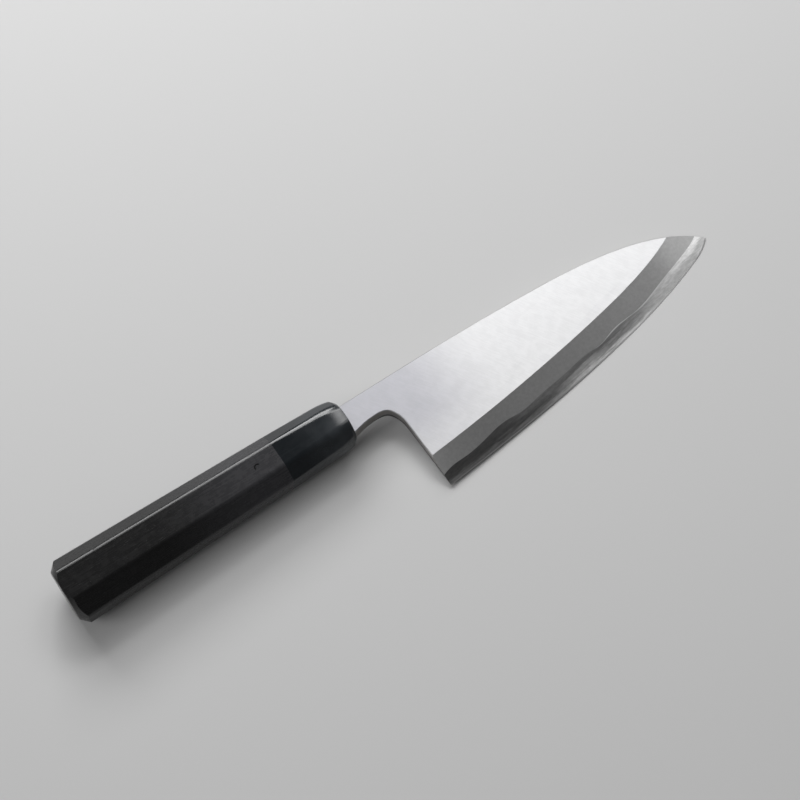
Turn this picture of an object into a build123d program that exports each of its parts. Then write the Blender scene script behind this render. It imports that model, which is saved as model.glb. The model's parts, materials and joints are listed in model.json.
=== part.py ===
from build123d import *
from math import pi, sqrt, tan
import os

os.makedirs("parts", exist_ok=True)

# A single-bevel kitchen knife for fish, with an octagonal handle.
# It is drawn in the knife's own frame: x along the handle's axis from the ferrule's front toward
# the tip, y toward the spine, z out of the bevelled face, with the flat of the back on z = 0.
# At the end it is laid down on its back as it lies on a table.

# Blade, seen on its bevelled face
blade_length = 166.4        # ferrule's front to tip
blade_height = 50.0         # spine to cutting edge, at the heel
spine_rise = 5.4            # spine over the handle's axis, at the ferrule
tip_drop = 14.1             # tip under the handle's axis
neck_length = 20.1          # ferrule's front to heel
neck_height = 12.6          # at the ferrule
neck_waist = 10.9           # halfway along the neck
bevel_width = 13.0          # shinogi to cutting edge, at the heel

# Blade, its thicknesses
spine_thickness = 7.0       # at the ferrule
point_thickness = 2.1       # of the flat's plane, above the tip
shinogi_thickness = 5.4     # at the heel
steel_thickness = 2.1       # hard steel layer, at the heel
steel_root = 7.4            # ferrule's front to where the hard steel starts
steel_scarf = 7.0           # length over which it is drawn out to nothing there
edge_bevel_height = 0.28    # the narrow second bevel at the cutting edge
edge_bevel_width = 0.45
spine_easing = 0.35         # small chamfer along the spine, neck and heel

# Hollow ground back
hollow_depth = 0.45
spine_rim = 2.6             # flat left along the spine
edge_rim = 2.2              # flat left along the cutting edge

# Tang
tang_length = 92.0
tang_height = 9.6           # at the ferrule
tang_thickness = 5.4
tang_end_height = 4.6
tang_end_thickness = 3.2

# Handle
handle_length = 128.6
ferrule_length = 31.0
butt_height = 27.2          # the octagon over its narrow flats, at the butt
butt_thickness = 21.6       # over its wide flats
butt_corner = 6.9           # leg of its corner facets
front_height = 21.6         # the same at the ferrule's front
front_thickness = 18.2
front_corner = 5.6
front_face_radius = 8.0     # flat left inside the turned chamfer at the ferrule's front
butt_face_radius = 10.5     # and at the butt
end_softening = 1.2         # radius where a turned chamfer meets its end face
ridge_radius = 2.4          # rounding of the handle's long ridges
front_ridge_radius = 6.0    # what it grows to at the ferrule's front
crown_length = 9.0          # over which the ferrule's sides are rubbed down toward its front
crown_depth = 1.2           # how far they are down there
mouth_wall = 6.0            # ferrule's front wall, ahead of the dowel

# Dowel
dowel_diameter = 13.0
dowel_length = 94.0
dowel_end_chamfer = 1.0

# Fits
glue_gap = 0.05             # around the dowel, and past its end
tang_clearance = 0.1        # around the tang in its slots

# How far a cut or a sketch runs past the solid
overrun = 2.1

# Outline of the spine: share of the blade's length, share of the drop from spine to tip,
# and the slopes at its two ends
spine_shares = (
    (0.306, -0.023),
    (0.554, 0.023),
    (0.717, 0.123),
    (0.837, 0.315),
    (0.916, 0.554),
)
spine_slope = 0.01
tip_slope = -0.85

# Outline of the neck's underside, down to where the heel's straight begins: share of the neck's
# length, share of the blade's height below the spine, and the slope where it leaves the ferrule
choil_shares = (
    (0.795, 0.244),
    (0.92, 0.332),
    (0.958, 0.468),
)
neck_slope = 0.3

# Ground bevel: share of the edge's length from the heel, share of the edge's rise,
# and the bevel's width there as a share of its width at the heel
bevel_shares = (
    (0.0, 0.0, 1.0),
    (0.2, 0.096, 1.02),
    (0.4, 0.21, 1.077),
    (0.6, 0.365, 1.115),
    (0.8, 0.582, 1.158),
    (0.92, 0.774, 1.27),
    (0.97, 0.887, 1.35),
    (1.0, 1.0, 1.315),
)

# Weld line between the two steels, wavy as forged: share of the edge's length from the heel,
# share of the hard steel's thickness
weld_shares = (
    (0.0, 0.95),
    (0.04, 1.08),
    (0.075, 1.0),
    (0.15, 1.04),
    (0.225, 1.07),
    (0.272, 0.87),
    (0.33, 0.87),
    (0.43, 0.81),
    (0.53, 0.74),
    (0.572, 0.64),
    (0.612, 0.7),
    (0.655, 0.66),
    (0.7, 0.555),
    (0.8, 0.535),
    (0.87, 0.5),
    (0.93, 0.44),
    (1.0, 0.4),
)

# Hollow of the back: share of the edge's length from the heel, share of its depth;
# under zero the grinding wheel has left the steel
hollow_shares = (
    (0.01, -0.4),
    (0.07, 0.6),
    (0.2, 1.0),
    (0.5, 0.85),
    (0.75, 0.5),
    (0.9, 0.15),
    (0.97, -0.3),
)
hollow_reach_share = 1.15   # half width of the wheel's cut as a share of the hollow's

# Sections of the ferrule, as shares of its length from the joint
ferrule_shares = (0.0, 0.08, 0.2, 0.35, 0.5, 0.62, 0.73, 0.84, 0.94, 1.0)

# Where the knife lying on its back touches the table: share of the edge's length from the heel
rest_share = 0.78

# Places that follow from the sizes
axis_height = spine_thickness / 2
heel_y = spine_rise - blade_height
edge_length = blade_length - neck_length
edge_rise = -tip_drop - heel_y
spine_drop = spine_rise + tip_drop

# The flat of the bevelled face is one plane, thinner toward the tip and toward the edge
taper_along = (spine_thickness - point_thickness) / blade_length
heel_shinogi_depth = blade_height - bevel_width
taper_across = (spine_thickness - taper_along * neck_length - shinogi_thickness) / heel_shinogi_depth


def flat_height(x, y):
    return spine_thickness - taper_along * x - taper_across * (spine_rise - y)


def across(x):
    """The plane square to the handle's axis at x, with its origin on that axis."""
    return Plane(origin=(x, 0, axis_height), x_dir=(0, 1, 0), z_dir=(1, 0, 0))


def octagon_sizes(x, inset):
    """Height, thickness and corner leg of the handle's octagon at x, with its sides moved in."""
    share = -x / handle_length
    height = front_height + (butt_height - front_height) * share - 2 * inset
    thickness = front_thickness + (butt_thickness - front_thickness) * share - 2 * inset
    corner = front_corner + (butt_corner - front_corner) * share - (2 - sqrt(2)) * inset
    return height, thickness, corner


def octagon(x, inset=0, rounding=ridge_radius):
    """The handle's octagon at x, from the ferrule's front to the butt."""
    height, thickness, corner = octagon_sizes(x, inset)
    half_turn = [
        (height / 2, thickness / 2 - corner),
        (height / 2 - corner, thickness / 2),
        (corner - height / 2, thickness / 2),
        (-height / 2, thickness / 2 - corner),
    ]
    other_half = [(-y, -z) for y, z in half_turn]
    with BuildSketch(across(x)) as section:
        with BuildLine():
            Polyline(*half_turn, *other_half, close=True)
        make_face()
        fillet(section.vertices(), radius=rounding)
    return section.sketch


def horn_sizes(x):
    """How far the ferrule's sides are down at x, and the rounding of its ridges there."""
    crown_share = max(0, x + crown_length) / crown_length
    ridge_share = (x + ferrule_length) / ferrule_length
    rounding = ridge_radius + (front_ridge_radius - ridge_radius) * ridge_share
    return crown_depth * crown_share ** 2, rounding


def tang_section(x, clearance):
    """The tang's rectangle at x, or its slot's with a clearance."""
    share = -x / tang_length
    height = tang_height + (tang_end_height - tang_height) * share
    thickness = tang_thickness + (tang_end_thickness - tang_thickness) * share
    with BuildSketch(across(x)) as section:
        Rectangle(height + 2 * clearance, thickness + 2 * clearance)
    return section.sketch


def turned_end(x, outward, face_radius):
    """Half profile of a bar round the handle's axis, with a 45 degree chamfer at its end at x."""
    bar_radius = butt_height
    chamfer_length = bar_radius - face_radius
    end_plane = Plane(origin=(x, 0, axis_height), x_dir=(outward, 0, 0), z_dir=(0, -outward, 0))
    with BuildSketch(end_plane) as profile:
        with BuildLine():
            Polyline(
                (0, 0),
                (0, face_radius),
                (-chamfer_length, bar_radius),
                (-handle_length, bar_radius),
                (-handle_length, 0),
                close=True,
            )
        make_face()
        fillet(profile.vertices().sort_by_distance((0, face_radius))[0], radius=end_softening)
    return profile.sketch


def station_beyond(last, inner):
    """A station of the ground bevel past the last one, in line with it and the one inside it."""
    reach = overrun / abs(last[0] - inner[0])
    return tuple(end + (end - before) * reach for end, before in zip(last, inner))


# Outline curves of the blade
spine_points = [(0, spine_rise)]
for along, drop in spine_shares:
    spine_points.append((along * blade_length, spine_rise - drop * spine_drop))
spine_points.append((blade_length, -tip_drop))
spine_curve = Spline(spine_points, tangents=((1, spine_slope), (1, tip_slope)))

bevel_stations = []
for along, rise, width in bevel_shares:
    bevel_stations.append((neck_length + along * edge_length, heel_y + rise * edge_rise, width * bevel_width))
edge_curve = Spline([(x, y) for x, y, width in bevel_stations])

# One more station past each end, so that the grinding runs clear
before_heel = station_beyond(bevel_stations[0], bevel_stations[1])
past_tip = station_beyond(bevel_stations[-1], bevel_stations[-2])
bevel_stations = [before_heel, *bevel_stations, past_tip]

# Blade before it is parted into its two steels
with BuildPart() as blank:
    with BuildSketch():
        with BuildLine():
            foot = (0, spine_rise - neck_height)
            below_heel = (neck_length, heel_y - overrun)
            choil_points = [foot, (neck_length / 2, spine_rise - neck_waist)]
            for along, down in choil_shares:
                choil_points.append((along * neck_length, spine_rise - down * blade_height))
            heel_direction = Vector(below_heel) - Vector(choil_points[-1])
            add(spine_curve)
            Spline(choil_points, tangents=((1, neck_slope), heel_direction))
            Polyline(choil_points[-1], below_heel, (blade_length, below_heel[1]), spine_curve @ 1)
            Line(spine_curve @ 0, foot)
        make_face()
    extrude(amount=spine_thickness + overrun)
    flat_normal = (taper_along, -taper_across, 1)
    split(bisect_by=Plane((0, spine_rise, spine_thickness), z_dir=flat_normal), keep=Keep.BOTTOM)

    # Spine, neck and heel are eased on both faces
    rims = blank.faces().sort_by(Axis.Z)[-1].edges() + blank.faces().sort_by(Axis.Z)[0].edges()
    chamfer(rims.filter_by(GeomType.BSPLINE), length=spine_easing)

    # The bevel and the narrow edge bevel are ground off in one
    for x, edge_y, width in bevel_stations:
        bevel_foot = (edge_y + edge_bevel_width, edge_bevel_height)
        shinogi = (edge_y + width, flat_height(x, edge_y + width))
        slope = (shinogi[1] - bevel_foot[1]) / (shinogi[0] - bevel_foot[0])
        above = (shinogi[0] + overrun / slope, shinogi[1] + overrun)
        below = (edge_y - overrun * edge_bevel_width / edge_bevel_height, -overrun)
        outside = edge_y - blade_height
        with BuildSketch(Plane.YZ.offset(x)):
            with BuildLine():
                Polyline(above, bevel_foot, below, (outside, -overrun), (outside, above[1]), close=True)
            make_face()
    loft(mode=Mode.SUBTRACT)

# Side view of everything below the weld line between the two steels
with BuildSketch(Plane.XZ) as hard_layer:
    with BuildLine():
        weld_points = []
        for along, share in weld_shares:
            weld_points.append((neck_length + along * edge_length, share * steel_thickness))
        weld = Spline(weld_points)
        front = blade_length + overrun
        Polyline(
            weld @ 1,
            (front, weld_points[-1][1]),
            (front, -overrun),
            (steel_root, -overrun),
            (steel_root, 0),
            (steel_root + steel_scarf, weld_points[0][1]),
            weld @ 0,
        )
    make_face()

with BuildPart() as blade_edge_steel:
    add(blank.part)
    extrude(hard_layer.sketch, amount=blade_height * 2, both=True, mode=Mode.INTERSECT)

    # Hollow ground back, inside a flat rim
    for along, apex_share in hollow_shares:
        x = neck_length + along * edge_length
        crossing = Axis((x, 0, 0), (0, 1, 0))
        top = spine_curve.find_intersection_points(crossing)[0].Y - spine_rim
        bottom = edge_curve.find_intersection_points(crossing)[0].Y + edge_rim
        middle = (top + bottom) / 2
        reach = (top - bottom) / 2 * hollow_reach_share
        apex = apex_share * hollow_depth
        end = apex - abs(apex) * hollow_reach_share ** 2
        with BuildSketch(Plane.YZ.offset(x)):
            with BuildLine():
                arc = ThreePointArc((middle - reach, end), (middle, apex), (middle + reach, end))
                Line(arc @ 1, arc @ 0)
            make_face()
    loft(mode=Mode.SUBTRACT)

with BuildPart() as blade_cladding:
    add(blank.part)
    extrude(hard_layer.sketch, amount=blade_height * 2, both=True, mode=Mode.SUBTRACT)
    loft([tang_section(0, 0), tang_section(-tang_length, 0)])

# Handle: the tang's slot is open at the front, and the dowel's bore runs through the joint
handle_axis = Axis((0, 0, axis_height), (1, 0, 0))
slot_end = -tang_length - tang_clearance
bore_end = -mouth_wall - dowel_length - glue_gap
bore_radius = dowel_diameter / 2 + glue_gap

with BuildPart() as ferrule:
    sections = []
    for share in ferrule_shares:
        x = (share - 1) * ferrule_length
        sections.append(octagon(x, *horn_sizes(x)))
    loft(sections)
    revolve(turned_end(0, 1, front_face_radius), axis=handle_axis, mode=Mode.INTERSECT)
    with BuildSketch(across(-ferrule_length)):
        Circle(bore_radius)
    extrude(amount=ferrule_length - mouth_wall, mode=Mode.SUBTRACT)
    loft([tang_section(0, tang_clearance), tang_section(slot_end, tang_clearance)], mode=Mode.SUBTRACT)

with BuildPart() as handle_body:
    loft([octagon(-handle_length), octagon(-ferrule_length)])
    revolve(turned_end(-handle_length, -1, butt_face_radius), axis=handle_axis, mode=Mode.INTERSECT)
    with BuildSketch(across(bore_end)):
        Circle(bore_radius)
    extrude(amount=-ferrule_length - bore_end, mode=Mode.SUBTRACT)

with BuildPart() as core_dowel:
    with BuildSketch(across(-mouth_wall - dowel_length)):
        Circle(dowel_diameter / 2)
    extrude(amount=dowel_length)
    chamfer(core_dowel.edges().filter_by(GeomType.CIRCLE), length=dowel_end_chamfer)
    loft([tang_section(0, tang_clearance), tang_section(slot_end, tang_clearance)], mode=Mode.SUBTRACT)

# Lying on its back the knife stands on the ferrule, where its crown begins and the rounding of
# its lower ridge runs out, and on the cutting edge, so the table's plane runs through that place
# and along the edge there
foot_inset, foot_rounding = horn_sizes(-crown_length)
foot_height, foot_thickness, foot_corner = octagon_sizes(-crown_length, foot_inset)
foot_y = foot_corner - foot_height / 2 + foot_rounding * tan(pi / 8)
ferrule_foot = Vector(-crown_length, foot_y, axis_height - foot_thickness / 2)
table_normal = (edge_curve @ rest_share - ferrule_foot).cross(edge_curve % rest_share)
lying = Plane(ferrule_foot, x_dir=(1, 0, 0), z_dir=table_normal).location.inverse()

# The part's origin is on the table, under the middle of the whole knife
pieces = {
    "blade_cladding": blade_cladding,
    "blade_edge_steel": blade_edge_steel,
    "ferrule": ferrule,
    "handle_body": handle_body,
    "core_dowel": core_dowel,
}
box = Compound([piece.part.moved(lying) for piece in pieces.values()]).bounding_box()
lying = Location((-box.center().X, -box.center().Y, -box.min.Z)) * lying

for name, piece in pieces.items():
    piece.part.locate(lying)
    piece.part.label = name
    export_step(piece.part, f"parts/{name}.step")
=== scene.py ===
import json
from math import cos, pi, radians, sin

import bpy
from mathutils import Matrix, Vector

# A single-bevel kitchen knife lying on its back on a pale floor. Its solids come from the CAD
# frame and keep their shapes; this script gives them their materials, the light and the camera.

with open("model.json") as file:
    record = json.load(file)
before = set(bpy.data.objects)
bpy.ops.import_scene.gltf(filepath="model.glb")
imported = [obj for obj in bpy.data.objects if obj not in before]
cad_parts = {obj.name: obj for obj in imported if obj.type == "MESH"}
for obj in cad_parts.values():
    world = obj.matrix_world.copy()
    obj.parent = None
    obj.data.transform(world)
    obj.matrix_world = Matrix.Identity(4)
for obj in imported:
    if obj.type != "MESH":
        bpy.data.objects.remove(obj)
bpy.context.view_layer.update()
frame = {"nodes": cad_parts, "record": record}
nodes = frame["nodes"]
mounts = {mount["name"]: mount for mount in frame["record"]["mounts"]}

MM = 0.001

# The knife's own frame: x along the handle's axis from the ferrule's front to the tip, y toward
# the spine, z out of the bevelled face with the flat of the back on z = 0. Materials use it in mm.
HANDLE_LENGTH = 128.6
AXIS_HEIGHT = 3.5
HEEL_X = 20.1
TIP_X = 166.4

toward_tip = -Vector(mounts["butt_end"]["axis"])
out_of_bevel = -Vector(mounts["blade_back"]["axis"])
toward_spine = out_of_bevel.cross(toward_tip)
butt_middle = Vector(mounts["butt_end"]["pos_m"])
knife_origin = butt_middle + toward_tip * HANDLE_LENGTH * MM - out_of_bevel * AXIS_HEIGHT * MM
knife_axes = Matrix((toward_tip, toward_spine, out_of_bevel)).transposed()
knife_turn = knife_axes.to_euler()


def in_knife_frame(point):
    """A point of the shared frame, in mm of the knife's own frame."""
    return knife_axes.transposed() @ (point - knife_origin) / MM


def is_colour(value):
    return isinstance(value, tuple) or getattr(value, "type", "") == "RGBA"


def opaque(value):
    """The value, with an alpha of 1 added where it is a colour's three numbers."""
    return (*value, 1.0) if isinstance(value, tuple) else value


class Shader:
    """A material's node graph: each call adds one node and returns what it gives."""

    def __init__(self, name):
        self.material = bpy.data.materials.new(name)
        self.material.use_nodes = True
        self.nodes = self.material.node_tree.nodes
        self.links = self.material.node_tree.links
        self.surface = self.nodes["Principled BSDF"]
        coordinates = self.nodes.new("ShaderNodeTexCoord")
        place = self.nodes.new("ShaderNodeMapping")
        place.vector_type = "TEXTURE"
        place.inputs["Location"].default_value = knife_origin
        place.inputs["Rotation"].default_value = knife_turn
        place.inputs["Scale"].default_value = (MM, MM, MM)
        self.links.new(coordinates.outputs["Object"], place.inputs["Vector"])
        self.place = place.outputs["Vector"]
        self.x, self.y, self.z = self.split(self.place)
        turn = self.nodes.new("ShaderNodeMapping")
        turn.vector_type = "TEXTURE"
        turn.inputs["Rotation"].default_value = knife_turn
        self.links.new(coordinates.outputs["Normal"], turn.inputs["Vector"])
        self.normal_x, self.normal_y, self.normal_z = self.split(turn.outputs["Vector"])

    def put(self, socket, value):
        """Links a socket's source, or sets its number or colour where the value is one."""
        if isinstance(value, bpy.types.NodeSocket):
            self.links.new(value, socket)
        else:
            socket.default_value = value

    def put_all(self, node, settings):
        for name, value in settings.items():
            self.put(node.inputs[name], value)

    def split(self, vector):
        node = self.nodes.new("ShaderNodeSeparateXYZ")
        self.put(node.inputs["Vector"], vector)
        return node.outputs

    def math(self, operation, first, second=0.0):
        node = self.nodes.new("ShaderNodeMath")
        node.operation = operation
        self.put(node.inputs[0], first)
        self.put(node.inputs[1], second)
        return node.outputs["Value"]

    def ramp_line(self, value, low, high):
        """From 0 at low to 1 at high in a straight line."""
        node = self.nodes.new("ShaderNodeMapRange")
        self.put_all(node, {"Value": value, "From Min": low, "From Max": high})
        return node.outputs["Result"]

    def ramp(self, value, low, high, start=0.0, end=1.0):
        """From start below low to end above high in a smooth step; low may be the larger."""
        node = self.nodes.new("ShaderNodeMapRange")
        node.interpolation_type = "SMOOTHSTEP"
        if low > high:
            low, high, start, end = high, low, end, start
        self.put_all(node, {"Value": value, "From Min": low, "From Max": high})
        self.put_all(node, {"To Min": start, "To Max": end})
        return node.outputs["Result"]

    def times(self, *values):
        product = values[0]
        for value in values[1:]:
            product = self.math("MULTIPLY", product, value)
        return product

    def plus(self, *values):
        total = values[0]
        for value in values[1:]:
            total = self.math("ADD", total, value)
        return total

    def stretched(self, stretch, turn=0.0):
        """The knife's coordinates scaled along x, y and z, after a turn in degrees about z."""
        node = self.nodes.new("ShaderNodeMapping")
        node.vector_type = "TEXTURE"
        node.inputs["Rotation"].default_value = (0, 0, radians(turn))
        node.inputs["Scale"].default_value = [1 / share for share in stretch]
        self.put(node.inputs["Vector"], self.place)
        return node.outputs["Vector"]

    def noise(self, vector, scale, detail=3.0, roughness=0.55, distortion=0.0):
        node = self.nodes.new("ShaderNodeTexNoise")
        self.put_all(node, {"Vector": vector, "Scale": scale, "Detail": detail})
        self.put_all(node, {"Roughness": roughness, "Distortion": distortion})
        return node.outputs["Fac"]

    def mix(self, share, first, second):
        """Blend of two colours, or of two numbers."""
        node = self.nodes.new("ShaderNodeMix")
        node.data_type = "RGBA" if is_colour(first) or is_colour(second) else "FLOAT"
        sockets = [socket for socket in node.inputs if socket.enabled]
        for socket, value in zip(sockets, (share, first, second)):
            self.put(socket, opaque(value))
        return next(socket for socket in node.outputs if socket.enabled)

    def grey(self, level):
        """A neutral colour of the level."""
        node = self.nodes.new("ShaderNodeCombineColor")
        for socket in node.inputs:
            self.put(socket, level)
        return node.outputs["Color"]

    def curve(self, value, points):
        """A number that follows a line through (value, result) points, both from 0 to 1."""
        node = self.nodes.new("ShaderNodeFloatCurve")
        line = node.mapping.curves[0]
        line.points[0].location = points[0]
        line.points[1].location = points[-1]
        for place in points[1:-1]:
            line.points.new(*place)
        node.mapping.update()
        self.put(node.inputs["Value"], value)
        return node.outputs["Value"]

    def bump(self, height, depth):
        """Relief of a height from 0 to 1, whose full depth is given in mm."""
        node = self.nodes.new("ShaderNodeBump")
        node.inputs["Distance"].default_value = depth * MM
        self.put(node.inputs["Height"], height)
        return node.outputs["Normal"]

    def finish(self, **settings):
        """Sets the surface's sockets, each named in lower case with underscores."""
        for name, value in settings.items():
            socket_name = name.replace("_", " ").title().replace("Ior", "IOR")
            self.put(self.surface.inputs[socket_name], opaque(value))
        return self.material


# Weld line between the two steels: its height over the back along the blade, read from the
# hard steel's own mesh, for the finish that follows the line
WELD_STEPS = 30
WELD_TOP = 3.0


def read_weld_line():
    step = (TIP_X - HEEL_X) / WELD_STEPS
    heights = [0.0] * (WELD_STEPS + 1)
    for vertex in nodes["blade_edge_steel"].data.vertices:
        x, y, z = in_knife_frame(vertex.co)
        place = round((x - HEEL_X) / step)
        if 0 <= place <= WELD_STEPS:
            heights[place] = max(heights[place], z)
    return [(place / WELD_STEPS, height / WELD_TOP) for place, height in enumerate(heights)]


weld_points = read_weld_line()


def along_blade(shader, points):
    """A number that follows a line through (x in mm, result) points, from the heel to the tip."""
    top = max(result for x, result in points)
    places = [((x - HEEL_X) / (TIP_X - HEEL_X), result / top) for x, result in points]
    line = shader.curve(shader.ramp_line(shader.x, HEEL_X, TIP_X), places)
    return shader.times(line, top)


def toward_weld(shader):
    """Place on the hard steel: 0 at the cutting edge, 1 at the weld."""
    line = shader.curve(shader.ramp_line(shader.x, HEEL_X, TIP_X), weld_points)
    return shader.math("DIVIDE", shader.z, shader.times(line, WELD_TOP))


def fine_lines(shader, turn, spacing=0.12, length=14.0):
    """Fine parallel scratches from 0 to 1, at a turn in degrees from the x axis; sizes in mm."""
    across = 1 / spacing
    return shader.noise(shader.stretched((1 / length, across, across), turn), 1.0, 4.0, 0.7)


def cloud(shader, size, detail=3.0):
    """Soft patches from 0 to 1, of about a size in mm."""
    return shader.noise(shader.place, 1 / size, detail, 0.6)


# Marks in the metal: turns in degrees from the x axis, sizes in mm
BELT_TURN = 4
STROKE_TURN = -58
STONE_TURN = 62
STONE_SPACING = 0.1
STONE_LENGTH = 3.0
CLOUD_TURN = 9
METAL_RELIEF = 0.004

# Grey of the ground bevel along the blade, as (x in mm, level) points: the cladding's share of
# its grey, then the grey of the hard steel at three heights and at its edge. These levels are
# partly the steels' own tone and partly painted light: they paint in the lamps' reflections and
# highlights, such as the bright patch at about 104 to 122 mm low on the hard steel, the lighter
# edge bevel and the lightening toward the tip. The numbers come from the photograph. The three
# heights were worked out from levels measured on it at 14 places on each of three rows, then
# thinned and adjusted, and the other two lists were set to match it.
# They remain an open fault.
CLADDING_TONE_AND_PAINTED_LIGHT = [
    (HEEL_X, 1.45), (37.0, 1.05), (62.0, 0.93), (125.0, 0.88),
    (138.0, 0.93), (152.0, 1.3), (TIP_X, 1.4),
]
GREY_AND_PAINTED_LIGHT_LOW = [
    (HEEL_X, 0.27), (62.0, 0.27), (78.0, 0.5), (104.0, 0.78),
    (122.0, 0.74), (138.0, 0.5), (152.0, 0.48), (TIP_X, 0.68),
]
GREY_AND_PAINTED_LIGHT_MIDDLE = [
    (HEEL_X, 0.14), (52.0, 0.13), (75.0, 0.2), (90.0, 0.42),
    (112.0, 0.31), (137.0, 0.47), (152.0, 0.47), (TIP_X, 0.58),
]
GREY_AND_PAINTED_LIGHT_AT_WELD = [
    (HEEL_X, 0.13), (50.0, 0.15), (64.0, 0.23), (112.0, 0.22),
    (130.0, 0.4), (146.0, 0.6), (TIP_X, 0.85),
]
GREY_AND_PAINTED_HIGHLIGHT_OF_EDGE = [(HEEL_X, 0.24), (60.0, 0.3), (100.0, 0.6), (TIP_X, 0.86)]
WELD_GLINT = 0.55


def soft_iron():
    iron = Shader("forged_soft_iron")

    # Places: the ground bevel and the upright walls are told by the way they face
    ground = iron.times(
        iron.ramp(iron.normal_y, -0.05, -0.09),
        iron.ramp(iron.normal_z, 0.7, 0.8),
    )
    wall = iron.ramp(iron.normal_z, 0.8, 0.6)
    tang = iron.ramp(iron.x, -0.3, -1.0)

    satin = fine_lines(iron, BELT_TURN)
    haze = cloud(iron, 30)
    stone = fine_lines(iron, STONE_TURN, STONE_SPACING, STONE_LENGTH)

    # Flat: duller at the neck, partly its own duller polish and partly painted shade; lighter
    # low down toward the heel, which is painted light; with faint smears and strokes
    flat_colour = iron.mix(haze, (0.65, 0.65, 0.66), (0.72, 0.72, 0.725))
    neck_colour_and_painted_shade = iron.mix(haze, (0.44, 0.44, 0.47), (0.51, 0.51, 0.54))
    flat_colour = iron.mix(iron.ramp(iron.x, 24.0, 66.0), neck_colour_and_painted_shade, flat_colour)
    smears = iron.noise(iron.stretched((0.03, 0.16, 0.16), 12), 1.0, 4.0, 0.6, 0.5)
    smear_share = iron.ramp(smears, 0.55, 0.75, 0.0, 0.1)
    flat_colour = iron.mix(smear_share, flat_colour, (0.4, 0.4, 0.42))
    # Painted light: the flat is made lighter low down toward the heel
    painted_light_low = iron.times(
        iron.ramp(iron.y, -12.0, -30.0),
        iron.ramp(iron.x, 75.0, 25.0, 0.25, 0.5),
    )
    flat_colour = iron.mix(painted_light_low, flat_colour, (0.74, 0.74, 0.74))
    strokes = iron.plus(
        iron.times(cloud(iron, 4), 0.4),
        iron.times(fine_lines(iron, STROKE_TURN, 0.5, 6.0), 0.6),
    )
    stroke_share = iron.ramp(strokes, 0.38, 0.62, 0.0, 0.07)
    flat_colour = iron.mix(stroke_share, flat_colour, (0.0, 0.0, 0.0))

    # The bevel's grey along the blade, partly painted light and reflection
    ground_tone_and_painted_light = along_blade(iron, CLADDING_TONE_AND_PAINTED_LIGHT)
    stone_cloud = iron.ramp(cloud(iron, 1.4, 4.0), 0.32, 0.68, 1.05, 0.95)
    ground_grey = iron.times(iron.mix(stone, 0.29, 0.39), ground_tone_and_painted_light, stone_cloud)
    wall_colour = iron.mix(satin, (0.30, 0.29, 0.28), (0.42, 0.41, 0.4))
    tang_colour = iron.mix(cloud(iron, 3), (0.05, 0.045, 0.04), (0.14, 0.12, 0.11))
    colour = iron.mix(ground, flat_colour, iron.grey(ground_grey))
    colour = iron.mix(wall, colour, wall_colour)
    colour = iron.mix(tang, colour, tang_colour)

    flat_marks = iron.plus(iron.times(haze, 0.6), iron.times(satin, 0.4))
    flat_roughness = iron.ramp(flat_marks, 0.3, 0.7, 0.46, 0.52)
    roughness = iron.mix(ground, flat_roughness, iron.ramp(stone, 0.3, 0.7, 0.52, 0.6))
    roughness = iron.mix(tang, roughness, 0.8)
    relief = iron.bump(iron.mix(ground, satin, stone), METAL_RELIEF)
    return iron.finish(base_color=colour, metallic=1.0, roughness=roughness, normal=relief)


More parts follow.
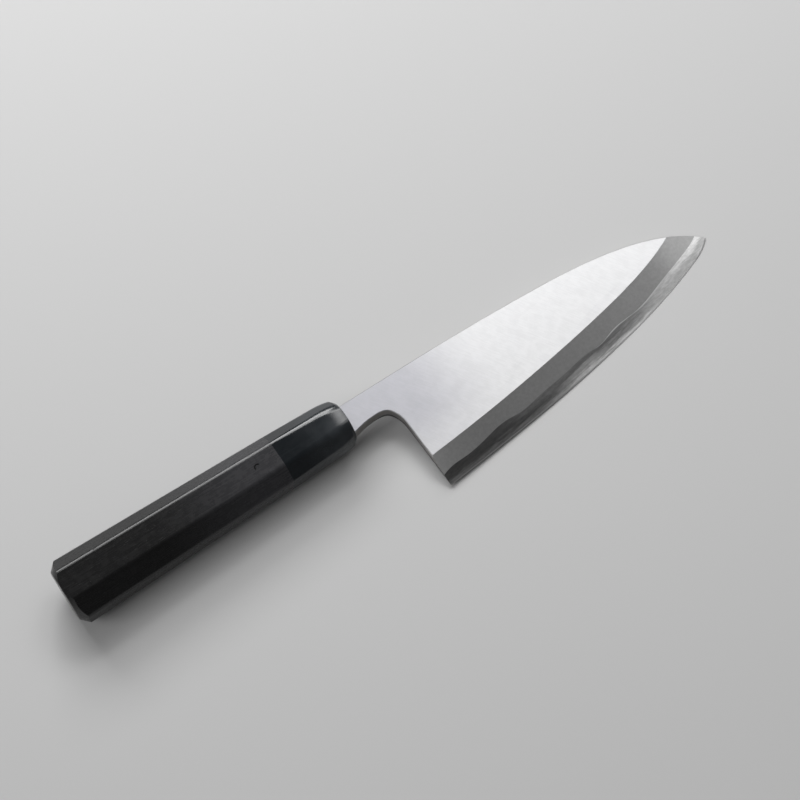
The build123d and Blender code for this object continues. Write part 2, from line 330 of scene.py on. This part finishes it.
def hard_steel():
    steel = Shader("hard_edge_steel")
    back = steel.ramp(steel.normal_z, -0.7, -0.8)
    edge_bevel = steel.times(
        steel.ramp(steel.normal_y, -0.44, -0.48),
        steel.ramp(steel.normal_z, 0.5, 0.6),
    )
    rim = steel.times(back, steel.ramp(steel.z, 0.03, 0.01))

    # Cloud that the stones raised: it hangs dark from the weld, thins out toward the tip and
    # leaves the steel lighter toward the edge. Its levels along the blade are partly painted
    # light, with the lamps' reflections painted in
    stone = fine_lines(steel, STONE_TURN, STONE_SPACING, STONE_LENGTH)
    shreds = steel.noise(steel.stretched((0.07, 0.9, 0.9), CLOUD_TURN), 1.0, 6.0, 0.7, 0.4)
    speckle = steel.noise(steel.stretched((0.35, 1.0, 1.0), CLOUD_TURN), 1.1, 4.0, 0.65)
    place = toward_weld(steel)
    torn = steel.plus(place, steel.times(steel.math("SUBTRACT", shreds, 0.5), 0.7))
    low = along_blade(steel, GREY_AND_PAINTED_LIGHT_LOW)
    middle = along_blade(steel, GREY_AND_PAINTED_LIGHT_MIDDLE)
    at_weld = along_blade(steel, GREY_AND_PAINTED_LIGHT_AT_WELD)
    ground_grey = steel.mix(steel.ramp(torn, 0.2, 0.5), low, middle)
    ground_grey = steel.mix(steel.ramp(torn, 0.58, 0.76), ground_grey, at_weld)
    ground_grey = steel.times(
        ground_grey,
        steel.ramp(shreds, 0.3, 0.7, 1.1, 0.9),
        steel.ramp(speckle, 0.32, 0.68, 1.11, 0.89),
    )
    glint = steel.times(steel.ramp(place, 0.9, 0.95), steel.ramp(steel.x, 96.0, 108.0))
    ground_grey = steel.mix(glint, ground_grey, steel.math("MAXIMUM", ground_grey, WELD_GLINT))

    grinding = fine_lines(steel, 3, 0.18, 20.0)
    back_colour = steel.mix(grinding, (0.46, 0.46, 0.47), (0.6, 0.6, 0.61))
    colour = steel.mix(back, steel.grey(ground_grey), back_colour)
    colour = steel.mix(rim, colour, (0.7, 0.7, 0.71))
    # Painted highlight: the edge bevel's grey rises toward the tip
    colour = steel.mix(edge_bevel, colour, steel.grey(along_blade(steel, GREY_AND_PAINTED_HIGHLIGHT_OF_EDGE)))

    roughness = steel.ramp(stone, 0.3, 0.7, 0.42, 0.52)
    roughness = steel.mix(back, roughness, steel.ramp(grinding, 0.3, 0.7, 0.3, 0.4))
    roughness = steel.mix(rim, roughness, 0.2)
    roughness = steel.mix(edge_bevel, roughness, 0.45)
    metallic = steel.mix(edge_bevel, 1.0, 0.25)
    relief = steel.bump(steel.mix(back, stone, grinding), METAL_RELIEF)
    return steel.finish(base_color=colour, metallic=metallic, roughness=roughness, normal=relief)


def polished_horn():
    horn = Shader("polished_buffalo_horn")
    fibres = horn.noise(horn.stretched((0.05, 1.6, 1.6)), 1.0, 5.0, 0.6, 0.4)
    colour = horn.mix(horn.ramp(fibres, 0.5, 0.8), (0.003, 0.005, 0.007), (0.008, 0.011, 0.013))
    # Painted light: paler toward the front end of the horn, where the lamps' sheen falls
    painted_light_front = horn.times(
        horn.ramp(horn.x, -26.0, -5.0),
        horn.ramp(cloud(horn, 9, 2.0), 0.35, 0.65, 0.55, 1.0),
    )
    colour = horn.mix(painted_light_front, colour, (0.027, 0.031, 0.035))
    roughness = horn.ramp(cloud(horn, 4), 0.3, 0.7, 0.16, 0.2)
    relief = horn.bump(fibres, 0.003)
    return horn.finish(base_color=colour, roughness=roughness, ior=1.56, normal=relief)


def ebony():
    wood = Shader("oiled_ebony")
    grain = wood.noise(wood.stretched((0.035, 1.0, 1.0)), 1.3, 6.0, 0.6, 0.7)
    pores = wood.noise(wood.stretched((0.25, 3.5, 3.5)), 1.0, 2.0, 0.5)
    figure = wood.plus(wood.times(grain, 0.5), wood.times(cloud(wood, 2.5), 0.5))
    mottle = wood.ramp(figure, 0.35, 0.7)
    dark = wood.mix(mottle, (0.001, 0.001, 0.0012), (0.0036, 0.0034, 0.0036))
    pale = wood.mix(mottle, (0.023, 0.023, 0.0255), (0.031, 0.0305, 0.0335))
    # Painted light: the wood is paler toward the ferrule, where the lamps' sheen falls
    colour = wood.mix(wood.ramp(wood.x, -92.0, -37.0), dark, pale)
    open_pores = wood.ramp(pores, 0.62, 0.74, 0.0, 0.4)

    # Small hooked check in the wood beside the ferrule, on the side that shows: the upper left
    # of a ring
    ring_x = -40.4
    ring_y = -0.3
    ring_radius = 1.2
    aside = wood.math("SUBTRACT", wood.x, ring_x)
    above = wood.math("SUBTRACT", wood.y, ring_y)
    radius = wood.math("SQRT", wood.plus(wood.times(aside, aside), wood.times(above, above)))
    off_line = wood.math("ABSOLUTE", wood.math("SUBTRACT", radius, ring_radius))
    upper_left = wood.ramp(wood.math("SUBTRACT", above, wood.times(aside, 0.6)), -0.1, 0.3)
    top_side = wood.ramp(wood.z, 8.0, 9.0)
    check = wood.times(wood.ramp(off_line, 0.42, 0.18), upper_left, top_side)

    hollows = wood.plus(open_pores, check)
    colour = wood.mix(wood.math("MAXIMUM", open_pores, check), colour, (0.002, 0.002, 0.002))
    roughness = wood.plus(wood.ramp(mottle, 0.0, 1.0, 0.26, 0.3), wood.times(hollows, 0.2))
    relief = wood.math("SUBTRACT", wood.times(mottle, 0.2), hollows)
    return wood.finish(
        base_color=colour,
        roughness=roughness,
        ior=1.47,
        specular_ior_level=wood.math("SUBTRACT", 0.5, wood.times(check, 0.45)),
        normal=wood.bump(relief, 0.012),
    )


def dowel_wood():
    wood = Shader("pale_magnolia_wood")
    grain = wood.noise(wood.stretched((0.02, 0.6, 0.6)), 1.0, 5.0, 0.6, 0.8)
    colour = wood.mix(grain, (0.5, 0.4, 0.25), (0.68, 0.58, 0.4))
    return wood.finish(base_color=colour, roughness=0.75, normal=wood.bump(grain, 0.02))


finishes = {
    "blade_cladding": soft_iron(),
    "blade_edge_steel": hard_steel(),
    "ferrule": polished_horn(),
    "handle_body": ebony(),
    "core_dowel": dowel_wood(),
}
for name, material in finishes.items():
    slot = nodes[name].material_slots[0]
    slot.link = "OBJECT"
    slot.material = material

# Floor
FLOOR_HALF = 3.0
FLOOR_COLOUR = (0.54, 0.54, 0.54, 1.0)
FLOOR_ROUGHNESS = 0.9
FLOOR_SPECULAR = 0.1

floor_mesh = bpy.data.meshes.new("floor")
corners = [(x * FLOOR_HALF, y * FLOOR_HALF, 0) for x, y in ((-1, -1), (1, -1), (1, 1), (-1, 1))]
floor_mesh.from_pydata(corners, [], [(0, 1, 2, 3)])
floor = bpy.data.objects.new("floor", floor_mesh)
bpy.context.scene.collection.objects.link(floor)
floor_material = bpy.data.materials.new("pale_floor")
floor_material.use_nodes = True
floor_surface = floor_material.node_tree.nodes["Principled BSDF"]
floor_surface.inputs["Base Color"].default_value = FLOOR_COLOUR
floor_surface.inputs["Roughness"].default_value = FLOOR_ROUGHNESS
floor_surface.inputs["Specular IOR Level"].default_value = FLOOR_SPECULAR
floor_mesh.materials.append(floor_material)

# Light: softboxes round the knife that face a point on it, each with its azimuth and elevation
# in degrees, its width and height in m and the radiance it is seen to have
SOFTBOX_DISTANCE = 1.15
SOFTBOX_TARGET = (0.03, 0.0, 0.0)
SOFTBOXES = [
    ("rear_softbox", 81, 33, 0.84, 0.34, 8.9),
    ("rear_high_softbox", 78, 50, 0.64, 0.34, 5.2),
    ("corner_softbox", 46, 50, 0.56, 0.34, 4.2),
    ("right_softbox", 18, 52, 0.56, 0.4, 1.7),
]
FILL_PLACE = (-2.75, 0.0, 2.53)
FILL_SIZE = 2.4
FILL_RADIANCE = 2.4
WORLD_COLOUR = (0.12, 0.12, 0.12, 1.0)


def soft_light(name, place, target, width, height, radiance):
    """A rectangular area light at a place, facing a target."""
    light = bpy.data.lights.new(name, "AREA")
    light.shape = "RECTANGLE"
    light.size = width
    light.size_y = height
    light.energy = radiance * width * height * pi
    lamp = bpy.data.objects.new(name, light)
    facing = (Vector(place) - Vector(target)).to_track_quat("Z", "Y")
    lamp.matrix_world = Matrix.Translation(place) @ facing.to_matrix().to_4x4()
    bpy.context.scene.collection.objects.link(lamp)


def around(azimuth, elevation, distance):
    """A place at a distance from the origin, from its azimuth and elevation in degrees."""
    turn, rise = radians(azimuth), radians(elevation)
    return distance * cos(turn) * cos(rise), distance * sin(turn) * cos(rise), distance * sin(rise)


for name, azimuth, elevation, width, height, radiance in SOFTBOXES:
    box_place = around(azimuth, elevation, SOFTBOX_DISTANCE)
    soft_light(name, box_place, SOFTBOX_TARGET, width, height, radiance)
soft_light("left_fill", FILL_PLACE, (0.0, 0.0, 0.0), FILL_SIZE, FILL_SIZE, FILL_RADIANCE)

world = bpy.data.worlds.new("studio")
world.use_nodes = True
world.node_tree.nodes["Background"].inputs["Color"].default_value = WORLD_COLOUR
bpy.context.scene.world = world

# Camera, at the photograph's viewing angle
VIEW_TARGET = Vector((4.52, 11.56, 6.0)) * MM
VIEW_DISTANCE = 881.7 * MM
VIEW_ELEVATION = radians(64.55)
VIEW_AZIMUTH = radians(23.47)
VIEW_ROLL = radians(-11.23)

to_camera = Vector((
    -sin(VIEW_AZIMUTH) * cos(VIEW_ELEVATION),
    -cos(VIEW_AZIMUTH) * cos(VIEW_ELEVATION),
    sin(VIEW_ELEVATION),
))
right = Vector((0, 0, 1)).cross(to_camera).normalized()
up = to_camera.cross(right)
lens = bpy.data.cameras.new("camera")
lens.lens = 100.0
lens.sensor_width = 36.0
lens.clip_start = 0.01
camera = bpy.data.objects.new("camera", lens)
level_view = Matrix((right, up, to_camera)).transposed().to_4x4()
camera_place = Matrix.Translation(VIEW_TARGET + to_camera * VIEW_DISTANCE)
camera.matrix_world = camera_place @ level_view @ Matrix.Rotation(VIEW_ROLL, 4, "Z")
bpy.context.scene.collection.objects.link(camera)
bpy.context.scene.camera = camera
bpy.context.scene.view_settings.view_transform = "Standard"
